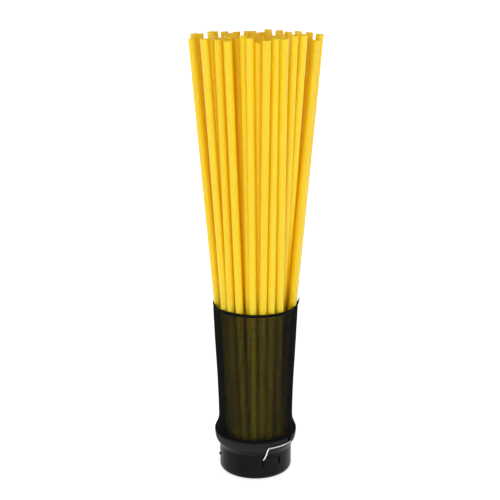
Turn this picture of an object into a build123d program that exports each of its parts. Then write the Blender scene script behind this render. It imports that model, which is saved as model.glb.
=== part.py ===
"""Bundle of long hollow tubes standing in a round moulded cup, wrapped by a net sleeve.

Frame: millimetres, +Z up, origin on the standing surface at the centre of the cup.
-Y is the side of the two keeper slots and the moulded panel.
Every tube is straight and stands on the cup floor; the tubes fan out upwards, lean on
the top rim of the sleeve, and each one draws out along its own axis.
"""
from build123d import *
import os
from math import sin, cos, radians, sqrt

os.makedirs("parts", exist_ok=True)

# ---------------------------------------------------------------- driving dimensions (mm)
CUP_R = 55.0            # outside radius of the cup, 110 mm across
CUP_BORE_R = 52.2       # inside radius
CUP_FLOOR = 3.0         # thickness of the cup floor
CUP_FOOT_FILLET = 8.0   # big outside radius at the foot
CUP_MOUTH_Z = 66.9      # top edge of the flared mouth
CUP_MOUTH_R = 61.3      # outside radius of the flared mouth
CUP_NECK_Z = 39.0       # where the straight wall ends and the flare starts
CUP_WALL_FLARE = 2.8    # wall of the flared mouth

SLOT_W, SLOT_H = 3.2, 13.0      # keeper slots, blind in the cup wall
SLOT_DEPTH = 2.3
SLOT_Z = 28.4                   # centre height of the slots
SLOT_A_DEG = 11.6               # angle from -Y towards +X of the slot in use
SLOT_B_DEG = 40.5               # the spare slot
PANEL_DEG = 25.6                # raised plain panel between the slots
PANEL_W, PANEL_H, PANEL_PROUD = 17.0, 13.0, 0.45
LUG_DEG, LUG_Z = -80.0, 24.0    # small moulded lug on the other side

TUBE_OD, TUBE_WALL = 11.5, 0.7
TUBE_REF_Z0, TUBE_REF_Z1 = 3.0, 655.0   # heights at which the table gives the axis
TUBE_EDGE = 0.18                        # broken edge of the saw cut
FOOT_LIFT = 0.05                        # clearance of a tube's lowest edge over the floor

SLEEVE_T = 1.0          # thickness of the net wall, knots included
RIM_Z = 265.0           # height of the sleeve's top edge
RIM_R = 63.3            # mean radius of the sleeve's top edge
RIM_CORD_D = 1.6
RIM_TAIL_D = 2.0        # its trimmed end

WIRE_D = 2.0            # spring wire of the keeper
WIRE_R = 63.1           # radius of the keeper's run round the neck
WIRE_Z = 55.0           # height of that run
PIVOT_DEG = 57.0        # angle of the keeper's vertical pivot leg
CORNER_DEG = 18.2       # angle where the keeper turns down
PIVOT_TOP_Z = 61.7      # top of the pivot leg
PIVOT_HOLE_D = 2.16     # hole of the pivot leg, 0.08 mm clearance all round

# One row per tube: x and y of its axis at TUBE_REF_Z0, x and y at TUBE_REF_Z1,
# and the height of the centre of its top end.
TUBES = [
    ( -34.19,    0.89,  -88.74,  -16.40,  656.5),
    ( -27.86,  -22.26,  -69.80,  -52.53,  658.8),
    ( -29.29,  -10.00,  -60.89,  -41.73,  657.8),
    ( -25.10,  -33.94,  -50.90,  -58.62,  658.5),
    ( -15.36,  -26.92,  -44.13,  -48.27,  657.0),
    ( -13.38,  -38.70,  -37.55,  -70.47,  657.5),
    (  -4.17,  -31.10,  -16.20,  -66.14,  664.0),
    (  -1.58,  -42.75,   -7.56,  -76.36,  661.8),
    (   5.04,  -23.49,    3.63,  -72.12,  656.0),
    (   7.63,  -35.14,   15.18,  -85.58,  659.5),
    (  19.59,  -38.05,   27.03,  -71.98,  660.8),
    (  32.43,  -26.26,   39.10,  -70.78,  660.5),
    (  32.17,   23.21,   52.46,  -57.81,  664.0),
    (  29.41,   35.16,   65.37,  -45.91,  664.0),
    (  33.64,   -2.07,   90.15,   -4.71,  662.0),
    (  33.70,  -14.39,   85.24,  -15.79,  654.5),
    ( -33.76,   12.82,  -86.16,   -4.56,  662.7),
    ( -24.14,   19.89,  -63.95,   40.59,  662.7),
    ( -26.20,   31.86,  -59.62,   52.48,  661.8),
    ( -17.03,   39.52,  -45.26,   61.03,  661.0),
    ( -12.91,   15.84,  -35.95,   41.20,  660.2),
    ( -15.03,   27.62,  -27.60,   54.13,  661.3),
    (  -3.70,   23.45,  -12.05,   70.39,  661.4),
    (  -5.87,   35.27,   -4.13,   83.65,  660.2),
    (   5.37,   31.25,   11.45,   58.90,  660.2),
    (   3.29,   43.03,   18.47,   71.70,  663.4),
    (  14.72,   39.58,   34.97,   69.40,  662.2),
    (   8.26,   19.44,   47.91,   62.48,  660.8),
    (  16.80,   27.78,   62.75,   64.27,  661.5),
    (  41.81,    9.13,   76.36,    8.64,  663.3),
    ( -35.69,   24.62,  -78.99,    8.32,  661.5),
    ( -18.17,  -15.29,  -37.24,  -35.00,  661.2),
    (  -6.15,  -19.32,  -25.24,  -29.82,  658.3),
    (  14.24,  -15.88,    6.43,  -31.83,  659.0),
    ( -19.34,   -3.40,  -60.96,   -9.58,  660.1),
    ( -10.15,    4.22,  -47.88,    8.66,  656.2),
    (  12.25,   -4.11,   26.73,    1.83,  659.4),
    (  23.44,   -8.27,   36.09,  -15.92,  657.5),
    (   3.05,  -11.71,   -1.49,    2.87,  661.4),
    ( -22.83,    8.02,  -43.16,   31.64,  656.2),
    (  10.27,    7.67,   19.28,   40.43,  660.1),
    (  21.46,    3.50,   36.24,    9.07,  661.4),
    (  -8.14,   -7.55,  -48.37,  -13.60,  657.3),
    (  20.35,  -26.14,   31.90,  -40.95,  661.5),
    (   1.06,    0.06,  -31.87,    9.45,  661.4),
    (  19.74,   15.32,   43.95,   33.21,  655.9),
    (  -0.95,   11.83,    1.63,   50.44,  660.3),
]


def around(deg, r, z):
    """Point at an angle measured from -Y towards +X."""
    return Vector(r * sin(radians(deg)), -r * cos(radians(deg)), z)


def facing(deg, r, z):
    """Plane on the cup wall that looks outwards: local x runs round the cup, local y is up."""
    out = Vector(sin(radians(deg)), -cos(radians(deg)), 0)
    return Plane(origin=around(deg, r, z), x_dir=(cos(radians(deg)), sin(radians(deg)), 0), z_dir=out)


# ---------------------------------------------------------------- base cup
# Revolved shell: flat foot, large foot radius, straight wall, then a flared mouth whose
# rounded lip stretches the net. The inside wall and floor carry the tubes.
with BuildPart() as base_cup:
    with BuildSketch(Plane.XZ) as cup_profile:
        with BuildLine() as cup_line:
            foot = Line((0, 0), (CUP_R - CUP_FOOT_FILLET, 0))
            foot_round = TangentArc(foot @ 1, (CUP_R, CUP_FOOT_FILLET), tangent=(1, 0))
            wall = Line(foot_round @ 1, (CUP_R, CUP_NECK_Z))
            flare = Spline(
                wall @ 1, (55.3, 40.8), (56.4, 43.0), (57.9, 46.0), (58.95, 48.6), (60.1, 52.4), (61.05, 57.2),
                (CUP_MOUTH_R, 62.5),
                tangents=[(0, 1), (0, 1)],
            )
            lip = Spline(
                flare @ 1, (61.0, 65.0), (60.0, CUP_MOUTH_Z), (58.9, 65.8), (CUP_MOUTH_R - CUP_WALL_FLARE, 63.6),
                tangents=[(0, 1), (0, -1)],
            )
            inner_flare = Spline(
                lip @ 1, (58.3, 58.6), (57.4, 54.0), (55.9, 49.8), (54.2, 46.0), (52.9, 42.4), (CUP_BORE_R, 38.6),
                tangents=[(0, -1), (0, -1)],
            )
            bore = Line(inner_flare @ 1, (CUP_BORE_R, CUP_FLOOR + 0.6))
            Polyline(bore @ 1, (CUP_BORE_R - 0.3, CUP_FLOOR), (0, CUP_FLOOR), (0, 0))
        make_face()
    revolve(axis=Axis.Z)

    # two narrow blind slots; the keeper's hook sits in the first
    for deg in (SLOT_A_DEG, SLOT_B_DEG):
        with BuildSketch(facing(deg, CUP_R + 4, SLOT_Z)) as slot_cut:
            SlotOverall(SLOT_H, SLOT_W, rotation=90)
        extrude(amount=-4 - SLOT_DEPTH, mode=Mode.SUBTRACT)

    # plain raised panel between the slots, following the wall
    with BuildSketch(Plane.XY.offset(SLOT_Z - PANEL_H / 2)) as panel_ring:
        Circle(CUP_R + PANEL_PROUD)
        Circle(CUP_R - 0.6, mode=Mode.SUBTRACT)
        half = 10.4
        with BuildLine() as wedge:
            Polyline(
                (0, 0),
                tuple(around(PANEL_DEG - half, 80, 0))[:2],
                tuple(around(PANEL_DEG + half, 80, 0))[:2],
                (0, 0),
            )
        make_face(mode=Mode.INTERSECT)
    extrude(amount=PANEL_H)

    # small moulded lug on the left
    with BuildSketch(facing(LUG_DEG, CUP_R - 1.0, LUG_Z)) as lug:
        SlotOverall(5.4, 3.0, rotation=0)
    extrude(amount=2.7)

    # bearing block of the keeper, grown out of the flare, with its vertical hole
    with BuildSketch(Plane.XY.offset(WIRE_Z + 2.5)) as pivot_block:
        Circle(WIRE_R + 2.0)
        Circle(CUP_MOUTH_R - 1.7, mode=Mode.SUBTRACT)
        with BuildLine() as block_wedge:
            Polyline(
                (0, 0),
                tuple(around(PIVOT_DEG - 3.4, 80, 0))[:2],
                tuple(around(PIVOT_DEG + 3.4, 80, 0))[:2],
                (0, 0),
            )
        make_face(mode=Mode.INTERSECT)
    extrude(amount=4.9)
    with BuildSketch(Plane.XY.offset(WIRE_Z - 1.6)) as pivot_hole:
        with Locations(tuple(around(PIVOT_DEG, WIRE_R, 0))[:2]):
            Circle(PIVOT_HOLE_D / 2)
    extrude(amount=PIVOT_TOP_Z - WIRE_Z + 2.0, mode=Mode.SUBTRACT)

base_cup.part.label = "base_cup"
export_step(base_cup.part, "parts/base_cup.step")

# ---------------------------------------------------------------- hem band
# Sewn elastic hem of the sleeve, stretched over the flare of the cup, inside the keeper's
# run. It is notched round the bearing block.
with BuildPart() as hem_band:
    with BuildSketch(Plane.XZ) as hem_profile:
        with BuildLine() as hem_line:
            outer = Spline((60.0, 48.7), (61.15, 52.4), (62.1, 57.2), (62.45, 62.75))
            Line(outer @ 1, (61.45, 62.75))
            inner = Spline((61.45, 62.75), (61.25, 57.2), (60.28, 52.4), (59.2, 48.75))
            Line(inner @ 1, outer @ 0)
        make_face()
    revolve(axis=Axis.Z)
    with BuildSketch(Plane.XY.offset(56.3)) as hem_notch:
        with BuildLine() as hem_wedge:
            Polyline(
                (0, 0),
                tuple(around(PIVOT_DEG - 4.6, 90, 0))[:2],
                tuple(around(PIVOT_DEG + 4.6, 90, 0))[:2],
                (0, 0),
            )
        make_face()
    extrude(amount=8.2, mode=Mode.SUBTRACT)

hem_band.part.label = "hem_band"
export_step(hem_band.part, "parts/hem_band.step")

# ---------------------------------------------------------------- net sleeve
# Closed wall of the net: bulges over the cup's lip, tucks in above it, then tapers
# outwards to the top rim.
SLEEVE_LOW = [
    (62.55, 62.95), (62.35, 65.2), (61.6, 67.6), (60.5, 70.0), (59.2, 72.6), (58.0, 75.2),
    (57.0, 78.4), (56.45, 82.5), (56.35, 88.0), (56.55, 96.0),
]
SLEEVE_HIGH = [(56.55, 96.0), (57.5, 125.0), (58.8, 157.0), (60.3, 189.0), (61.8, 221.0), (RIM_R + SLEEVE_T / 2, RIM_Z - 0.9)]
JOIN_DIR = (0.027, 1)   # common direction of the two curves where they meet
with BuildPart() as mesh_sleeve:
    with BuildSketch(Plane.XZ) as sleeve_profile:
        with BuildLine() as sleeve_line:
            low_out = Spline(*SLEEVE_LOW, tangents=[(-0.05, 1), JOIN_DIR])
            high_out = Spline(*SLEEVE_HIGH, tangents=[JOIN_DIR, (0.042, 1)])
            Line(high_out @ 1, (SLEEVE_HIGH[-1][0] - SLEEVE_T, SLEEVE_HIGH[-1][1]))
            Spline(*[(r - SLEEVE_T, z) for r, z in SLEEVE_HIGH], tangents=[JOIN_DIR, (0.042, 1)])
            Spline(*[(r - SLEEVE_T, z) for r, z in SLEEVE_LOW], tangents=[(-0.05, 1), JOIN_DIR])
            Line((SLEEVE_LOW[0][0] - SLEEVE_T, SLEEVE_LOW[0][1]), low_out @ 0)
        make_face()
    revolve(axis=Axis.Z)

mesh_sleeve.part.label = "mesh_sleeve"
export_step(mesh_sleeve.part, "parts/mesh_sleeve.step")

# ---------------------------------------------------------------- rim cord
# Binding cord of the sleeve's top edge, with its trimmed end standing up on the right.
with BuildPart() as rim_cord:
    with BuildSketch(Plane.XZ) as rim_section:
        with Locations((RIM_R, RIM_Z)):
            Circle(RIM_CORD_D / 2)
    revolve(axis=Axis.Z)
    tail_base = around(86, RIM_R, RIM_Z)
    tail_tip = around(84, RIM_R + 1.8, RIM_Z + 8.6)
    with BuildSketch(Plane(origin=tail_base, z_dir=(tail_tip - tail_base).normalized())) as tail:
        Circle(RIM_TAIL_D / 2)
    extrude(amount=(tail_tip - tail_base).length)

rim_cord.part.label = "rim_cord"
export_step(rim_cord.part, "parts/rim_cord.step")

# ---------------------------------------------------------------- wire keeper
# One bent spring wire: a vertical pivot leg, a run round the neck under the hem, a leg
# that drops to the slot, and a short hook that goes in through the slot.
arc_angles = [51.5, 43.5, 35.5, 27.0]
wire_points = [around(PIVOT_DEG, WIRE_R, PIVOT_TOP_Z), around(PIVOT_DEG, WIRE_R, WIRE_Z)]
wire_points += [around(a, WIRE_R + 0.2, WIRE_Z - 0.1 * i) for i, a in enumerate(arc_angles)]
wire_points += [
    around(CORNER_DEG, WIRE_R + 0.3, WIRE_Z - 0.5),
    around(16.7, 61.7, 49.0),
    around(15.9, 60.2, 43.6),
    around(13.9, 58.5, 37.6),
    around(12.2, 57.2, 33.9),
    around(11.7, CUP_R - 1.1, 32.8),
]
wire_radii = [2.2, 18, 45, 45, 45, 2.2, 15, 15, 15, 2.0]
with BuildPart() as wire_clip:
    with BuildLine() as wire_path:
        FilletPolyline(*wire_points, radius=wire_radii)
    with BuildSketch(Plane(origin=wire_path.line @ 0, z_dir=wire_path.line % 0)) as wire_section:
        Circle(WIRE_D / 2)
    sweep(path=wire_path.line)

wire_clip.part.label = "wire_clip"
export_step(wire_clip.part, "parts/wire_clip.step")

# ---------------------------------------------------------------- tubes
# Square-cut hollow tubes. The foot plane of each is lifted so that its lowest edge
# clears the floor, and its length brings its top centre to the height in the table.
for number, (x0, y0, x1, y1, top_z) in enumerate(TUBES, start=1):
    name = f"tube_{number:02d}"
    low = Vector(x0, y0, TUBE_REF_Z0)
    along = (Vector(x1, y1, TUBE_REF_Z1) - low).normalized()
    lean = sqrt(along.X**2 + along.Y**2)
    foot_z = CUP_FLOOR + TUBE_OD / 2 * lean + FOOT_LIFT
    foot_point = low + along * ((foot_z - TUBE_REF_Z0) / along.Z)
    length = (top_z - foot_z) / along.Z
    with BuildPart() as tube:
        with BuildSketch(Plane(origin=foot_point, z_dir=along)) as ring:
            Circle(TUBE_OD / 2)
            Circle(TUBE_OD / 2 - TUBE_WALL, mode=Mode.SUBTRACT)
        extrude(amount=length)
        chamfer(tube.edges().filter_by(GeomType.CIRCLE), length=TUBE_EDGE)
    tube.part.label = name
    export_step(tube.part, f"parts/{name}.step")
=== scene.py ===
import math

import bpy
import numpy as np
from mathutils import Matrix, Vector


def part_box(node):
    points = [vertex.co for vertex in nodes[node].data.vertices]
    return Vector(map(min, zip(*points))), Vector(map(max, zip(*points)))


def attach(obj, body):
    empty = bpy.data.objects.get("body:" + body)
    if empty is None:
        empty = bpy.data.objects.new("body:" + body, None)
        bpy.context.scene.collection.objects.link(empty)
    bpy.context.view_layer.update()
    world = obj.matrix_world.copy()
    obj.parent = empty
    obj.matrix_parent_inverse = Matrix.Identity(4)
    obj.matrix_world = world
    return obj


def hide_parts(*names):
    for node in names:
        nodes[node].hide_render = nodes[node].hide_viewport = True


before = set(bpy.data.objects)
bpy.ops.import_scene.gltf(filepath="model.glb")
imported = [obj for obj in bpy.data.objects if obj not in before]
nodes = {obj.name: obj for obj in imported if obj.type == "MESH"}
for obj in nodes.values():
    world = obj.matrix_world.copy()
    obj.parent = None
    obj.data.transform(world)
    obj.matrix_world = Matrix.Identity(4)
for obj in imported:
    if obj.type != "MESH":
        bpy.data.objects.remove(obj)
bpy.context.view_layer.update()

MM = 0.001
HOLDER = "holder"
rng = np.random.default_rng(20)
tube_names = sorted(n for n in nodes if n.startswith("tube_"))


# ------------------------------------------------------------------ small helpers
def mesh_piece(name, verts, faces, body, smooth=True):
    """verts in metres, faces as an (n, 4) array of quads (or a list of faces)."""
    me = bpy.data.meshes.new(name)
    verts = np.asarray(verts, np.float32)
    if isinstance(faces, np.ndarray):
        n, k = faces.shape
        me.vertices.add(len(verts))
        me.vertices.foreach_set("co", verts.ravel())
        me.loops.add(n * k)
        me.loops.foreach_set("vertex_index", faces.astype(np.int32).ravel())
        me.polygons.add(n)
        me.polygons.foreach_set("loop_start", np.arange(0, n * k, k, dtype=np.int32))
        me.update(calc_edges=True)
    else:
        me.from_pydata([tuple(v) for v in verts], [], [tuple(f) for f in faces])
        me.update()
    me.validate()
    me.polygons.foreach_set("use_smooth", np.full(len(me.polygons), smooth))
    ob = bpy.data.objects.new(name, me)
    bpy.context.scene.collection.objects.link(ob)
    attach(ob, body)
    return ob


def node_box_mm(name):
    lo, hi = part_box(name)
    return np.array(lo) / MM, np.array(hi) / MM


class Mat:
    """A Principled material with helpers that keep the node graph short."""

    def __init__(self, name):
        self.m = bpy.data.materials.new(name)
        self.m.use_nodes = True
        self.t = self.m.node_tree
        self.t.nodes.clear()
        self.out = self.t.nodes.new("ShaderNodeOutputMaterial")
        self.p = self.t.nodes.new("ShaderNodeBsdfPrincipled")
        self.link(self.p.outputs[0], self.out.inputs[0])
        self.co = self.t.nodes.new("ShaderNodeTexCoord").outputs["Object"]

    def link(self, a, b):
        self.t.links.new(a, b)

    def set(self, **kw):
        for k, v in kw.items():
            self.p.inputs[k.replace("_", " ")].default_value = v
        return self

    def scaled(self, scale, rot=(0, 0, 0)):
        n = self.t.nodes.new("ShaderNodeMapping")
        n.inputs["Scale"].default_value = scale
        n.inputs["Rotation"].default_value = rot
        self.link(self.co, n.inputs["Vector"])
        return n.outputs[0]

    def noise(self, vec, scale, detail=3.0, rough=0.5):
        n = self.t.nodes.new("ShaderNodeTexNoise")
        n.inputs["Scale"].default_value = scale
        n.inputs["Detail"].default_value = detail
        n.inputs["Roughness"].default_value = rough
        self.link(vec, n.inputs["Vector"])
        return n.outputs["Fac"]

    def wave(self, vec, scale, direction="Z", distortion=0.0):
        n = self.t.nodes.new("ShaderNodeTexWave")
        n.wave_type = "BANDS"
        n.bands_direction = direction
        n.inputs["Scale"].default_value = scale
        n.inputs["Distortion"].default_value = distortion
        self.link(vec, n.inputs["Vector"])
        return n.outputs["Fac"]

    def remap(self, fac, lo, hi, src=(0.0, 1.0)):
        n = self.t.nodes.new("ShaderNodeMapRange")
        n.inputs["From Min"].default_value = src[0]
        n.inputs["From Max"].default_value = src[1]
        n.inputs["To Min"].default_value = lo
        n.inputs["To Max"].default_value = hi
        self.link(fac, n.inputs["Value"])
        return n.outputs["Result"]

    def ramp(self, fac, stops):
        n = self.t.nodes.new("ShaderNodeValToRGB")
        e = n.color_ramp.elements
        while len(e) < len(stops):
            e.new(0.5)
        for el, (pos, col) in zip(e, stops):
            el.position = pos
            el.color = (*col, 1)
        self.link(fac, n.inputs["Fac"])
        return n.outputs["Color"]

    def mix(self, fac, a, b):
        n = self.t.nodes.new("ShaderNodeMix")
        n.data_type = "RGBA"
        for sock, v in ((n.inputs[0], fac), (n.inputs[6], a), (n.inputs[7], b)):
            if isinstance(v, (int, float)):
                sock.default_value = v
            elif isinstance(v, tuple):
                sock.default_value = (*v, 1)
            else:
                self.link(v, sock)
        return n.outputs[2]

    def math(self, op, a, b=0.0):
        n = self.t.nodes.new("ShaderNodeMath")
        n.operation = op
        for sock, v in ((n.inputs[0], a), (n.inputs[1], b)):
            if isinstance(v, (int, float)):
                sock.default_value = v
            else:
                self.link(v, sock)
        return n.outputs[0]

    def bump(self, height, strength, distance):
        n = self.t.nodes.new("ShaderNodeBump")
        n.inputs["Strength"].default_value = strength
        n.inputs["Distance"].default_value = distance
        self.link(height, n.inputs["Height"])
        self.link(n.outputs[0], self.p.inputs["Normal"])

    def color(self, sock):
        self.link(sock, self.p.inputs["Base Color"])

    def rough(self, sock):
        self.link(sock, self.p.inputs["Roughness"])


def paint(ob, mat):
    ob.data.materials.clear()
    ob.data.materials.append(mat)


def repaint_node(name, mat):
    ob = nodes[name]
    for s in ob.material_slots:
        s.material = mat
    if not ob.material_slots:
        ob.data.materials.append(mat)


# ------------------------------------------------------------------ materials
def tube_material(name, base, deep):
    m = Mat(name)
    m.set(IOR=1.48, Specular_IOR_Level=0.46, Subsurface_Weight=0.35, Subsurface_Scale=0.006, Subsurface_Radius=(1.0, 0.45, 0.04),
          Emission_Strength=0.085)
    # painted glow: a faint orange emission (strength 0.085) where the tubes stand free of the sleeve stands in for
    # light passing through the thin walls and lifts the shade between the tubes
    sep = m.t.nodes.new("ShaderNodeSeparateXYZ")
    m.link(m.t.nodes.new("ShaderNodeNewGeometry").outputs["Position"], sep.inputs[0])
    painted_glow_mask = m.remap(sep.outputs[2], 0.0, 1.0, (0.262, 0.300))
    m.link(m.ramp(painted_glow_mask, [(0.0, (0.0, 0.0, 0.0)), (1.0, (1.0, 0.54, 0.012))]), m.p.inputs["Emission Color"])
    streak = m.noise(m.scaled((430, 430, 5)), 1.0, 3.0, 0.55)       # die lines drawn along the tube
    cloud = m.noise(m.scaled((6, 6, 3.0)), 1.0, 2.0, 0.5)
    fac = m.math("ADD", m.remap(streak, -0.20, 0.20, (0.3, 0.7)), m.remap(cloud, 0.42, 0.68, (0.3, 0.7)))
    m.color(m.ramp(fac, [(0.0, deep), (0.55, base), (1.0, tuple(min(1.0, c * 1.03) for c in base))]))
    m.rough(m.remap(streak, 0.17, 0.27, (0.3, 0.7)))
    m.bump(streak, 0.16, 0.0004)
    return m.m


tube_mats = [
    tube_material("tube_yellow_a", (0.915, 0.610, 0.0065), (0.880, 0.545, 0.005)),
    tube_material("tube_yellow_b", (0.920, 0.632, 0.0085), (0.890, 0.568, 0.006)),
    tube_material("tube_yellow_c", (0.910, 0.590, 0.0055), (0.870, 0.522, 0.004)),
    tube_material("tube_yellow_d", (0.915, 0.622, 0.0100), (0.885, 0.555, 0.007)),
]


def cup_material():
    m = Mat("cup_black_plastic")
    m.set(IOR=1.46, Specular_IOR_Level=0.11)
    cloud = m.noise(m.scaled((38, 38, 30)), 1.0, 4.0, 0.55)
    patch = m.noise(m.scaled((17, 17, 14)), 1.0, 2.0, 0.5)
    black = m.ramp(cloud, [(0.30, (0.0030, 0.0029, 0.0029)), (0.62, (0.0048, 0.0045, 0.0043)), (1.0, (0.0075, 0.0066, 0.0058))])
    # painted reflection: random brownish patches tint the black plastic, standing in for warm reflections on the cup
    warm_reflection_patches = m.mix(m.remap(patch, 0.0, 0.55, (0.50, 0.68)), black, (0.0105, 0.0078, 0.0060))
    # painted shade: the slots are coloured near black inside, where they are unlit; radius measured from the cup's axis
    sep = m.t.nodes.new("ShaderNodeSeparateXYZ")
    m.link(m.co, sep.inputs[0])
    r2 = m.math("ADD", m.math("MULTIPLY", sep.outputs[0], sep.outputs[0]), m.math("MULTIPLY", sep.outputs[1], sep.outputs[1]))
    inside = m.math("LESS_THAN", r2, 0.05475**2)
    m.color(m.mix(inside, warm_reflection_patches, (0.0012, 0.0012, 0.0012)))
    grain = m.noise(m.scaled((1500, 1500, 1500)), 1.0, 2.0, 0.5)
    scratch = m.noise(m.scaled((90, 90, 1400)), 1.0, 3.0, 0.6)
    m.rough(m.math("ADD", m.remap(cloud, 0.26, 0.36, (0.3, 0.7)), m.remap(scratch, -0.03, 0.05, (0.4, 0.8))))
    m.bump(m.math("ADD", grain, m.math("MULTIPLY", scratch, 0.6)), 0.10, 0.00022)
    return m.m


def hem_material():
    m = Mat("hem_black_elastic")
    m.set(IOR=1.45, Specular_IOR_Level=0.12)
    rows = m.wave(m.scaled((1, 1, 1)), 380.0, "Z")
    fuzz = m.noise(m.scaled((900, 900, 900)), 1.0, 3.0, 0.6)
    m.color(m.ramp(m.math("ADD", m.math("MULTIPLY", rows, 0.5), m.math("MULTIPLY", fuzz, 0.5)),
                   [(0.25, (0.0100, 0.0100, 0.0115)), (0.8, (0.0210, 0.0210, 0.0240))]))
    m.rough(m.remap(fuzz, 0.42, 0.62, (0.3, 0.7)))
    m.bump(m.math("ADD", rows, fuzz), 0.25, 0.0002)
    return m.m


def net_material():
    m = Mat("net_black_thread")
    m.set(IOR=1.45, Specular_IOR_Level=0.05)
    fuzz = m.noise(m.scaled((1100, 1100, 1100)), 1.0, 3.0, 0.6)
    band = m.noise(m.scaled((5, 5, 60)), 1.0, 2.0, 0.5)
    m.color(m.ramp(m.math("ADD", m.math("MULTIPLY", fuzz, 0.6), m.math("MULTIPLY", band, 0.4)),
                   [(0.3, (0.0042, 0.0048, 0.0044)), (0.7, (0.0082, 0.0092, 0.0086))]))
    m.rough(m.remap(fuzz, 0.75, 0.95, (0.3, 0.7)))
    m.bump(fuzz, 0.3, 0.0001)
    return m.m


def cord_material():
    m = Mat("rim_cord_black")
    m.set(IOR=1.45, Specular_IOR_Level=0.08)
    fuzz = m.noise(m.scaled((1400, 1400, 1400)), 1.0, 3.0, 0.6)
    m.color(m.ramp(fuzz, [(0.3, (0.002, 0.002, 0.0022)), (0.75, (0.006, 0.006, 0.0065))]))
    m.rough(m.remap(fuzz, 0.5, 0.75, (0.3, 0.7)))
    m.bump(fuzz, 0.35, 0.0001)
    return m.m


def wire_material():
    m = Mat("wire_bright_steel")
    m.set(Metallic=1.0)
    draw = m.noise(m.scaled((300, 300, 300)), 1.0, 4.0, 0.6)
    tarnish = m.noise(m.scaled((55, 55, 70)), 1.0, 3.0, 0.6)
    m.color(m.ramp(tarnish, [(0.30, (0.74, 0.71, 0.63)), (0.60, (0.93, 0.92, 0.88))]))
    m.rough(m.remap(draw, 0.24, 0.42, (0.3, 0.7)))
    m.bump(draw, 0.12, 0.0001)
    return m.m


MAT_CUP, MAT_HEM, MAT_NET, MAT_CORD, MAT_WIRE = cup_material(), hem_material(), net_material(), cord_material(), wire_material()
for i, n in enumerate(tube_names):
    repaint_node(n, tube_mats[(i * 7 + i // 3) % len(tube_mats)])
repaint_node("base_cup", MAT_CUP)
repaint_node("wire_clip", MAT_WIRE)

# ------------------------------------------------------------------ net sleeve
# Profile of the net's outer face, radius against height in millimetres. Its ends come
# from the CAD node's own box; between them it bulges over the cup's lip and tucks in.
net_lo, net_hi = node_box_mm("mesh_sleeve")
PROFILE = np.array([
    (62.55, 62.95), (62.35, 65.2), (61.6, 67.6), (60.5, 70.0), (59.2, 72.6), (58.0, 75.2),
    (57.0, 78.4), (56.45, 82.5), (56.35, 88.0), (56.55, 96.0), (57.5, 125.0), (58.8, 157.0),
    (60.3, 189.0), (61.8, 221.0), (63.8, 264.1),
])
PROFILE[:, 1] = net_lo[2] + (PROFILE[:, 1] - PROFILE[0, 1]) * (net_hi[2] - net_lo[2]) / (PROFILE[-1, 1] - PROFILE[0, 1])


def catmull(points, n):
    """n points spaced evenly along a smooth curve through the given ones."""
    p = np.vstack([2 * points[0] - points[1], points, 2 * points[-1] - points[-2]])
    out = []
    for i in range(1, len(p) - 2):
        t = np.linspace(0, 1, 40, endpoint=False)[:, None]
        a, b, c, d = p[i - 1], p[i], p[i + 1], p[i + 2]
        out.append(0.5 * ((2 * b) + (c - a) * t + (2 * a - 5 * b + 4 * c - d) * t**2 + (3 * b - a - 3 * c + d) * t**3))
    line = np.vstack(out + [points[-1:]])
    s = np.concatenate([[0], np.cumsum(np.linalg.norm(np.diff(line, axis=0), axis=1))])
    at = np.linspace(0, s[-1], n)
    return np.stack([np.interp(at, s, line[:, k]) for k in range(2)], axis=1), s[-1]


curve, net_length = catmull(PROFILE, 1200)
curve_s = np.linspace(0, net_length, 1200)

# the tubes' axes, read from the frame: centre of each foot and of each top end
tube_axis = []
for n in tube_names:
    me = nodes[n].data
    co = np.empty(len(me.vertices) * 3, np.float32)
    me.vertices.foreach_get("co", co)
    co = co.reshape(-1, 3) / MM
    low = co[co[:, 2] < co[:, 2].min() + 3].mean(0)
    top = co[co[:, 2] > co[:, 2].max() - 3].mean(0)
    tube_axis.append((low, top))
tube_axis = np.array(tube_axis)

ANG = np.linspace(0, 2 * np.pi, 361)[:-1]
TUBE_R = 5.75


def outline(z):
    """How far the bundle reaches at each of 360 angles, at height z."""
    a, b = tube_axis[:, 0], tube_axis[:, 1]
    c = a + (b - a) * ((z - a[:, 2:]) / (b[:, 2:] - a[:, 2:]))
    r, t = np.hypot(c[:, 0], c[:, 1]), np.arctan2(c[:, 1], c[:, 0])
    d = ANG[:, None] - t[None]
    side = r * np.sin(d)
    reach = np.where((np.abs(side) < TUBE_R) & (np.cos(d) > 0), r * np.cos(d) + np.sqrt(np.maximum(TUBE_R**2 - side**2, 0)), 0)
    return reach.max(1)


# where the bundle presses on the net the net stands out a little, and between the
# pressing tubes it is drawn straight; this is the table of that at several heights
press_z = np.array([90.0, 130.0, 170.0, 210.0, 250.0, 262.0])
press = []
for z in press_z:
    reach = outline(z)
    k = np.exp(-0.5 * (np.arange(-14, 15) / 4.5) ** 2)
    soft = np.convolve(np.concatenate([reach[-14:], reach, reach[:14]]), k / k.sum(), "valid")
    press.append(np.clip((soft - np.percentile(soft, 85)) * 0.16, -1.3, 0.0))
press = np.array(press)


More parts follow.
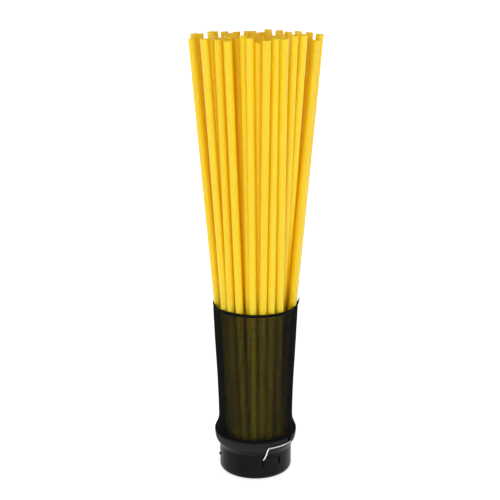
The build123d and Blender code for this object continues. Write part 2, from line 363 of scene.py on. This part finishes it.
def sag(a, z):
    """Extra radius in mm at angle a and height z: press marks of the tubes, soft folds, slight waviness."""
    fi = (np.mod(a, 2 * np.pi)) / (2 * np.pi) * 360
    i0 = np.floor(fi).astype(int) % 360
    w = fi - np.floor(fi)
    zi = np.interp(z, press_z, np.arange(len(press_z)))
    j0 = np.clip(np.floor(zi).astype(int), 0, len(press_z) - 2)
    v = zi - j0
    p = (press[j0, i0] * (1 - w) + press[j0, (i0 + 1) % 360] * w) * (1 - v) + (
        press[j0 + 1, i0] * (1 - w) + press[j0 + 1, (i0 + 1) % 360] * w) * v
    amount = np.clip((z - 84.0) / 60.0, 0, 1) ** 0.8
    wave = 0.22 * np.sin(3 * a + 0.6 + z / 60) + 0.14 * np.sin(7 * a + 2.1 - z / 38)
    tuck = np.exp(-0.5 * ((z - 74.0) / 5.5) ** 2)
    pleat = tuck * (0.34 * np.sin(31 * a + 1.3 * np.sin(3 * a)) + 0.20 * np.sin(53 * a + 2 * np.sin(5 * a)))
    return p * amount + wave * np.clip((z - 64.0) / 20.0, 0, 1) + pleat


PITCH = 1.75
N_U = int(round(2 * np.pi * 60.0 / PITCH))
N_V = int(round(net_length / PITCH))
THICK = 0.66


def net_point(u, v, inward):
    """Point of the net at column u, row v (both may be fractional), that far inside its outer face."""
    s = np.clip(v / N_V, 0, 1) * net_length
    r, z = np.interp(s, curve_s, curve[:, 0]), np.interp(s, curve_s, curve[:, 1])
    a = u / N_U * 2 * np.pi
    r = r + sag(a, z) - inward
    return np.stack([r * np.cos(a), r * np.sin(a), z], axis=-1) * MM


def build_net():
    ui, vi = np.meshgrid(np.arange(N_U), np.arange(N_V + 1), indexing="xy")   # corner grid
    shape = ui.shape
    jit_u, jit_v = rng.normal(0, 0.012, shape), rng.normal(0, 0.012, shape)
    jit_v[0], jit_v[-1] = 0, 0
    cu, cv = ui + jit_u, vi + jit_v
    outer, inner = net_point(cu, cv, 0.0), net_point(cu, cv, THICK)
    # holes: half-width as a share of the cell; every eighth row is woven closer, and the
    # first and last rows are closed up where the hem and the binding are sewn on
    cell_u, cell_v = np.meshgrid(np.arange(N_U) + 0.5, np.arange(N_V) + 0.5, indexing="xy")
    row = np.arange(N_V)
    open_v = np.where(row % 8 == 7, 0.33, 0.37)
    open_v[:1], open_v[-2:] = 0.12, 0.10
    open_u = np.full(N_V, 0.262)
    open_u[:1], open_u[-2:] = 0.14, 0.12
    hu = open_u[:, None] * rng.normal(1.0, 0.02, cell_u.shape)
    hv = open_v[:, None] * rng.normal(1.0, 0.02, cell_u.shape)
    corners = [(-1, -1), (1, -1), (1, 1), (-1, 1)]
    hole_o = [net_point(cell_u + sx * hu, cell_v + sy * hv, 0.10) for sx, sy in corners]
    hole_i = [net_point(cell_u + sx * hu, cell_v + sy * hv, THICK - 0.10) for sx, sy in corners]
    n_c, n_h = outer.shape[0] * outer.shape[1], cell_u.size
    verts = np.concatenate([outer.reshape(-1, 3), inner.reshape(-1, 3)] + [h.reshape(-1, 3) for h in hole_o + hole_i])
    idx = np.arange(n_c).reshape(shape)
    nxt = np.roll(idx, -1, axis=1)
    quad = [idx[:-1], nxt[:-1], nxt[1:], idx[1:]]           # corner indices of each cell, same order as corners
    ho = [2 * n_c + k * n_h + np.arange(n_h).reshape(cell_u.shape) for k in range(4)]
    hi = [2 * n_c + (4 + k) * n_h + np.arange(n_h).reshape(cell_u.shape) for k in range(4)]
    faces = []
    for k in range(4):
        j = (k + 1) % 4
        faces.append(np.stack([quad[k], quad[j], ho[j], ho[k]], -1))                      # outside
        faces.append(np.stack([quad[j] + n_c, quad[k] + n_c, hi[k], hi[j]], -1))          # inside
        faces.append(np.stack([ho[k], ho[j], hi[j], hi[k]], -1))                          # hole wall
    faces = [f.reshape(-1, 4) for f in faces]
    faces.append(np.stack([nxt[0], idx[0], idx[0] + n_c, nxt[0] + n_c], -1))              # bottom edge
    faces.append(np.stack([idx[-1], nxt[-1], nxt[-1] + n_c, idx[-1] + n_c], -1))          # top edge
    return mesh_piece("net_sleeve", verts, np.concatenate(faces), HOLDER, smooth=False)


net = build_net()
paint(net, MAT_NET)
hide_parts("mesh_sleeve")

# ------------------------------------------------------------------ rim binding
# Two strands twisted round the net's top edge, with a small knot and the trimmed end
# standing up on the right.
rim_lo, rim_hi = node_box_mm("rim_cord")


def tube_along(line, radius, sides=8, closed=False):
    """Verts and quads of a round tube along a line in mm; radius may be an array."""
    line = np.asarray(line, float)
    n = len(line)
    radius = np.broadcast_to(np.asarray(radius, float), (n,))
    if closed:
        tan = np.roll(line, -1, axis=0) - np.roll(line, 1, axis=0)
    else:
        tan = np.gradient(line, axis=0)
    tan /= np.linalg.norm(tan, axis=1)[:, None]
    ref = np.array([0.0, 0.0, 1.0])
    side = np.cross(tan, ref)
    small = np.linalg.norm(side, axis=1) < 0.2
    side[small] = np.cross(tan[small], np.array([1.0, 0.0, 0.0]))
    side /= np.linalg.norm(side, axis=1)[:, None]
    up = np.cross(side, tan)
    t = np.linspace(0, 2 * np.pi, sides, endpoint=False)
    v = line[:, None] + radius[:, None, None] * (np.cos(t)[None, :, None] * side[:, None] + np.sin(t)[None, :, None] * up[:, None])
    verts = v.reshape(-1, 3)
    idx = np.arange(n * sides).reshape(n, sides)
    a = idx if closed else idx[:-1]
    b = np.roll(idx, -1, axis=0) if closed else idx[1:]
    quads = np.stack([a, np.roll(a, -1, axis=1), np.roll(b, -1, axis=1), b], -1).reshape(-1, 4)
    faces = [tuple(q) for q in quads]
    if not closed:
        faces.append(tuple(idx[0][::-1]))
        faces.append(tuple(idx[-1]))
    return verts, faces


def joined(parts):
    verts, faces, base = [], [], 0
    for v, f in parts:
        verts.append(v)
        faces += [tuple(int(i) + base for i in q) for q in f]
        base += len(v)
    return np.vstack(verts), faces


TAIL = math.radians(-4.0)      # angle of the trimmed end, measured from +X


def rim_line(a):
    z_top = net_hi[2]
    r = PROFILE[-1, 0] - THICK / 2 + sag(a, np.full_like(a, z_top))
    z = z_top + 0.55 + 0.30 * np.sin(2 * a + 0.7) + 0.16 * np.sin(5 * a)
    return np.stack([r * np.cos(a), r * np.sin(a), z], -1)


a = np.linspace(0, 2 * np.pi, 900, endpoint=False)
mid = rim_line(a)
out = np.stack([np.cos(a), np.sin(a), np.zeros_like(a)], -1)
turns = 96
parts = []
for phase in (0.0, math.pi):
    t = a * turns + phase
    strand = mid + 0.42 * (np.cos(t)[:, None] * out + np.sin(t)[:, None] * np.array([0, 0, 1.0]))
    parts.append(tube_along(strand, 0.50, 7, closed=True))
knot_at = rim_line(np.array([TAIL]))[0] + np.array([0.25, 0, 0.35])
tip = np.array([rim_hi[0] - 0.55, knot_at[1] - 0.6, rim_hi[2] - 0.2])
for k, (dx, dz, turn) in enumerate(((0.0, 0.0, 0.0), (0.35, 0.25, 1.2))):
    u = np.linspace(0, 1, 26)
    ring = np.stack([np.cos(u * 2 * np.pi + turn), 1.25 * np.sin(u * 2 * np.pi + turn), 0.55 * np.sin(u * 2 * np.pi * (k + 1))], -1) * 0.72
    parts.append(tube_along(knot_at + ring[:-1] + np.array([0, 0, dz]), 0.44, 7, closed=True))
u = np.linspace(0, 1, 16)
tail_line = knot_at + (tip - knot_at) * u[:, None] + np.array([0.25, 0.45, 0]) * np.sin(u * math.pi)[:, None]
parts.append(tube_along(tail_line, 1.0 - 0.32 * u**2, 10))
binding = mesh_piece("rim_binding", joined(parts)[0] * MM, joined(parts)[1], HOLDER)
paint(binding, MAT_CORD)
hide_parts("rim_cord")

# ------------------------------------------------------------------ elastic hem
hem_lo, hem_hi = node_box_mm("hem_band")


def build_hem():
    """A closed band over all angles; the cells inside the notch round the keeper's block are left out."""
    n_a, n_z = 480, 48
    ang = np.linspace(0, 2 * np.pi, n_a, endpoint=False)
    t = np.linspace(0, 1, n_z)
    zz = hem_lo[2] + 0.03 + (hem_hi[2] - hem_lo[2] - 0.06) * t
    r_out = np.interp(zz, [48.7, 52.4, 57.2, 62.75], [60.0, 61.15, 62.1, 62.45]) - 0.05
    r_out = r_out - 0.42 * np.exp(-np.minimum(t, 1 - t) / 0.022)      # rounded edges
    r_out = r_out + 0.07 * np.cos(t * 2 * np.pi * 9) * np.clip(np.minimum(t, 1 - t) * 12, 0, 1)
    r_in = np.interp(zz, [48.75, 52.4, 57.2, 62.75], [59.2, 60.28, 61.25, 61.45]) + 0.02
    stitch = (np.abs(t - 0.90) < 0.016)[None] * (np.sin(ang[:, None] * 150) > 0)
    groove = np.exp(-0.5 * ((t[None] - 0.74) / 0.02) ** 2)
    ro = r_out[None] + 0.03 * np.sin(ang[:, None] * 240) - 0.13 * stitch - 0.16 * groove
    ca, sa = np.cos(ang)[:, None], np.sin(ang)[:, None]
    zg = np.broadcast_to(zz, ro.shape)
    o = np.stack([ro * ca, ro * sa, zg], -1).reshape(-1, 3)
    i = np.stack([r_in[None] * ca, r_in[None] * sa, zg], -1).reshape(-1, 3)
    g = np.arange(n_a * n_z).reshape(n_a, n_z)
    off = n_a * n_z
    mid_a = ang + np.pi / n_a
    turn = np.abs((mid_a - math.radians(57.0 - 90.0) + np.pi) % (2 * np.pi) - np.pi)
    keep = ~((turn[:, None] < math.radians(4.6)) & (((zz[:-1] + zz[1:]) / 2)[None] > 56.3))
    gn = np.roll(g, -1, axis=0)
    quad = np.stack([g[:, :-1], gn[:, :-1], gn[:, 1:], g[:, 1:]], -1)
    faces = [quad[keep], quad[keep][:, ::-1] + off]
    pad = np.concatenate([np.zeros((n_a, 1), bool), keep, np.zeros((n_a, 1), bool)], 1)
    low, high = keep & ~pad[:, :-2], keep & ~pad[:, 2:]
    left, right = keep & ~np.roll(keep, 1, axis=0), keep & ~np.roll(keep, -1, axis=0)
    for edge, (p, q) in ((low, (0, 1)), (high, (2, 3)), (right, (1, 2)), (left, (3, 0))):
        c = quad[edge]
        if len(c):
            faces.append(np.stack([c[:, q], c[:, p], c[:, p] + off, c[:, q] + off], -1))
    faces = np.concatenate(faces)
    used = np.unique(faces)
    remap = np.full(2 * off, -1)
    remap[used] = np.arange(len(used))
    return mesh_piece("elastic_hem", np.concatenate([o, i])[used] * MM, remap[faces], HOLDER)


hem = build_hem()
paint(hem, MAT_HEM)
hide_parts("hem_band")

# ------------------------------------------------------------------ floor and backdrop
def backdrop():
    # a round pale floor that sweeps up into a low wall all the way round
    prof = [(0.02, 0.0), (0.6, 0.0), (2.0, 0.0), (4.0, 0.0), (6.4, 0.0)]
    for k in range(1, 11):
        t = k / 10 * math.pi / 2
        prof.append((6.4 + 1.2 * math.sin(t), 1.2 * (1 - math.cos(t))))
    prof.append((7.6, 2.3))
    n = 72
    turn = [k / n * 2 * math.pi for k in range(n)]
    verts = [(r * math.cos(t), r * math.sin(t), z - 0.0002) for (r, z) in prof for t in turn]
    faces = [tuple(range(n))]
    for i in range(len(prof) - 1):
        for j in range(n):
            k = (j + 1) % n
            faces.append((i * n + j, (i + 1) * n + j, (i + 1) * n + k, i * n + k))
    me = bpy.data.meshes.new("studio_floor")
    me.from_pydata(verts, [], faces)
    me.polygons.foreach_set("use_smooth", [True] * len(me.polygons))
    ob = bpy.data.objects.new("studio_floor", me)
    bpy.context.scene.collection.objects.link(ob)
    m = Mat("studio_white")
    m.set(Specular_IOR_Level=0.0, Roughness=0.9)
    m.p.inputs["Base Color"].default_value = (0.93, 0.93, 0.935, 1)
    m.set(Emission_Color=(1, 1, 1, 1), Emission_Strength=0.75)
    me.materials.append(m.m)
    return ob


backdrop()

# ------------------------------------------------------------------ light
world = bpy.data.worlds.new("studio")
bpy.context.scene.world = world
world.use_nodes = True
world.node_tree.nodes["Background"].inputs[0].default_value = (1, 1, 1, 1)
world.node_tree.nodes["Background"].inputs[1].default_value = 0.24


def area(name, loc, target, size, power, size_y=None):
    d = bpy.data.lights.new(name, "AREA")
    d.energy, d.size = power, size
    if size_y:
        d.shape, d.size_y = "RECTANGLE", size_y
    o = bpy.data.objects.new(name, d)
    bpy.context.scene.collection.objects.link(o)
    o.location = loc
    o.rotation_euler = (Vector(target) - Vector(loc)).to_track_quat("-Z", "Y").to_euler()
    return o


area("key_light", (-0.32, -2.35, 1.0), (0, 0, 0.40), 0.28, 8.5, 0.9)
area("fill_right", (2.0, -1.9, 1.2), (0, 0, 0.35), 0.8, 2.5, 1.4)
area("top_light", (0.2, 0.3, 2.8), (0, 0, 0.3), 1.6, 4)

# ------------------------------------------------------------------ camera
cam_data = bpy.data.cameras.new("camera")
cam_data.sensor_width = 36.0
cam_data.lens = 82.74
cam_data.shift_x = -5.5 / 500
cam = bpy.data.objects.new("camera", cam_data)
bpy.context.scene.collection.objects.link(cam)
cam.location = (0.0, -1.6476, 0.7796)
cam.rotation_euler = (math.radians(90 - 14.74), 0, 0)
bpy.context.scene.camera = cam

bpy.context.scene.view_settings.view_transform = "Standard"
bpy.context.scene.view_settings.look = "None"
